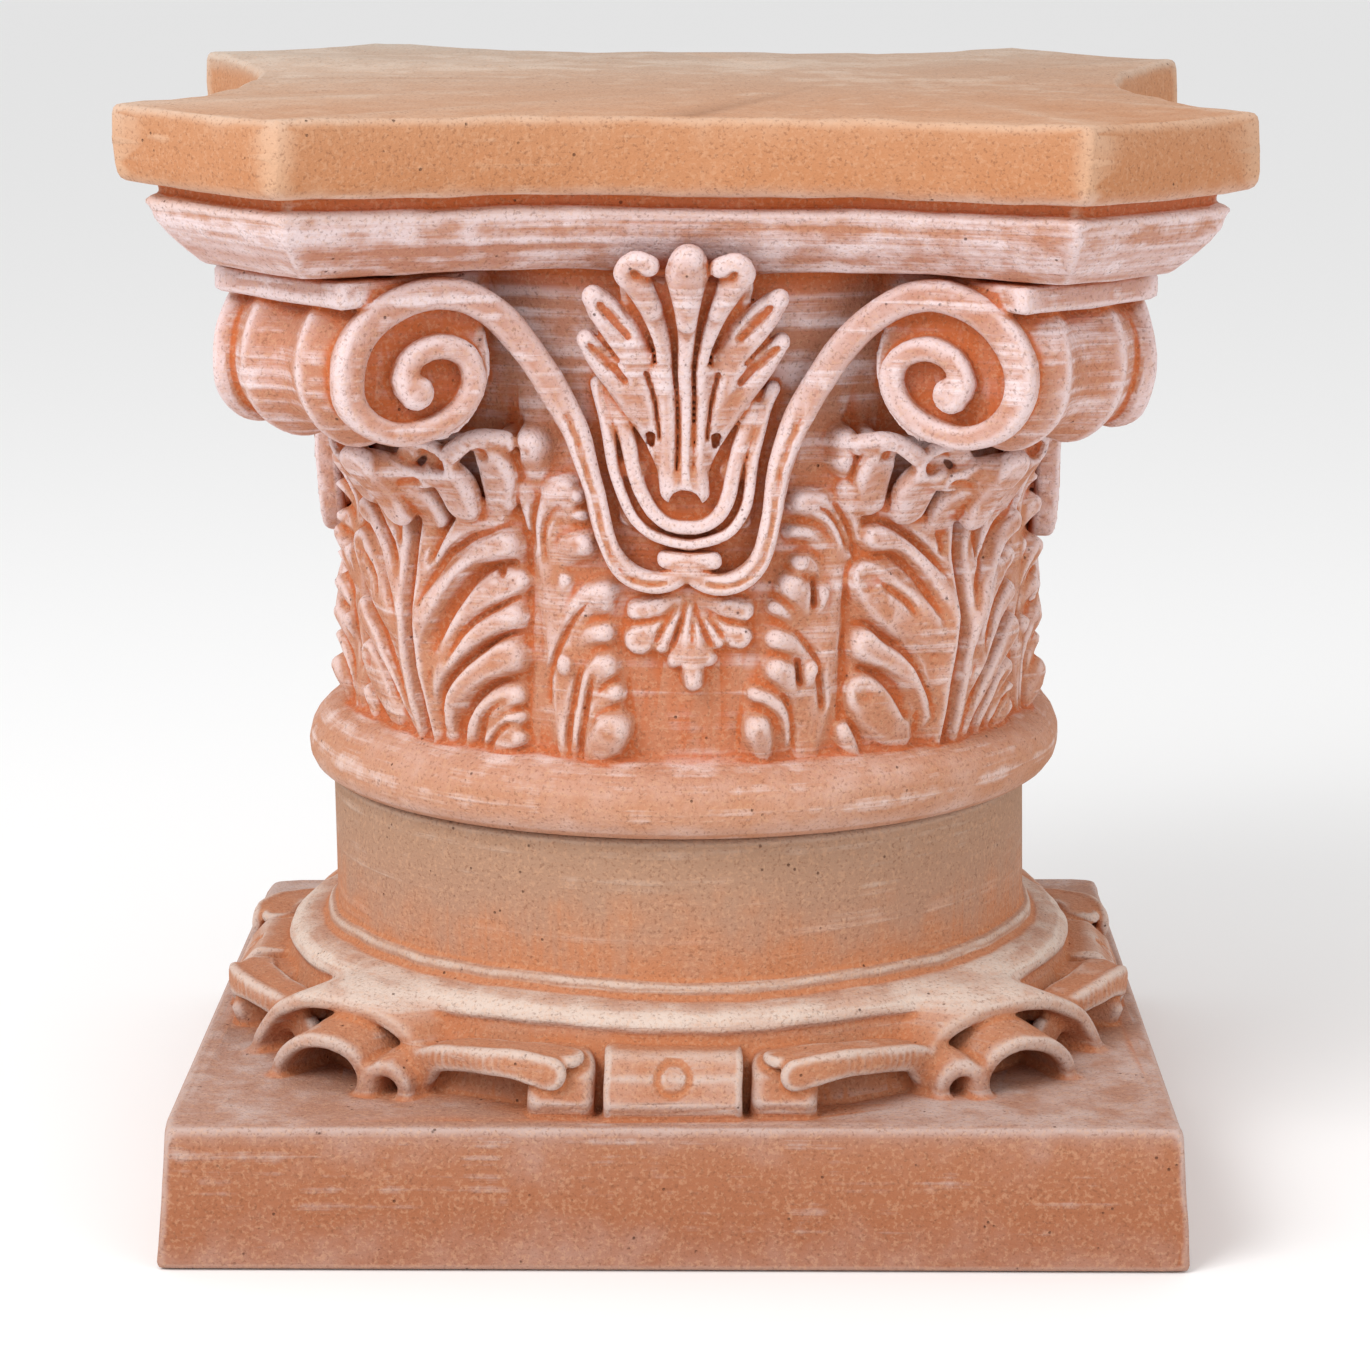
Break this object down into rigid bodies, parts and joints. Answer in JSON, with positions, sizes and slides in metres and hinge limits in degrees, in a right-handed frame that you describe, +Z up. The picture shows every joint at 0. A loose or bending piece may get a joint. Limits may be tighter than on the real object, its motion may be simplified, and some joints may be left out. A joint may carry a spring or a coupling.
{
  "type": "corinthian capital",
  "caption": "Corinthian capital with acanthus leaves and corner volutes, resting on a drum, torus, ribbon and square plinth.",
  "frame": {"origin": "middle of the underside of the plinth", "axes": "+Z up along the column's axis, front face of the plinth towards -Y, +X to the right"},
  "size_m": [0.4526, 0.4526, 0.464],
  "materials": {
    "capital_terracotta": "fired terracotta with an orange slip in the hollows and worn lilac-white limewash on the raised carving",
    "base_terracotta": "fired terracotta, brushed beige-pink on the drum and torus, orange in the hollows, greyish limewash on the plinth"
  },
  "bodies": {
    "root": {"capital": "capital_terracotta", "base": "base_terracotta"}
  },
  "joints": []
}
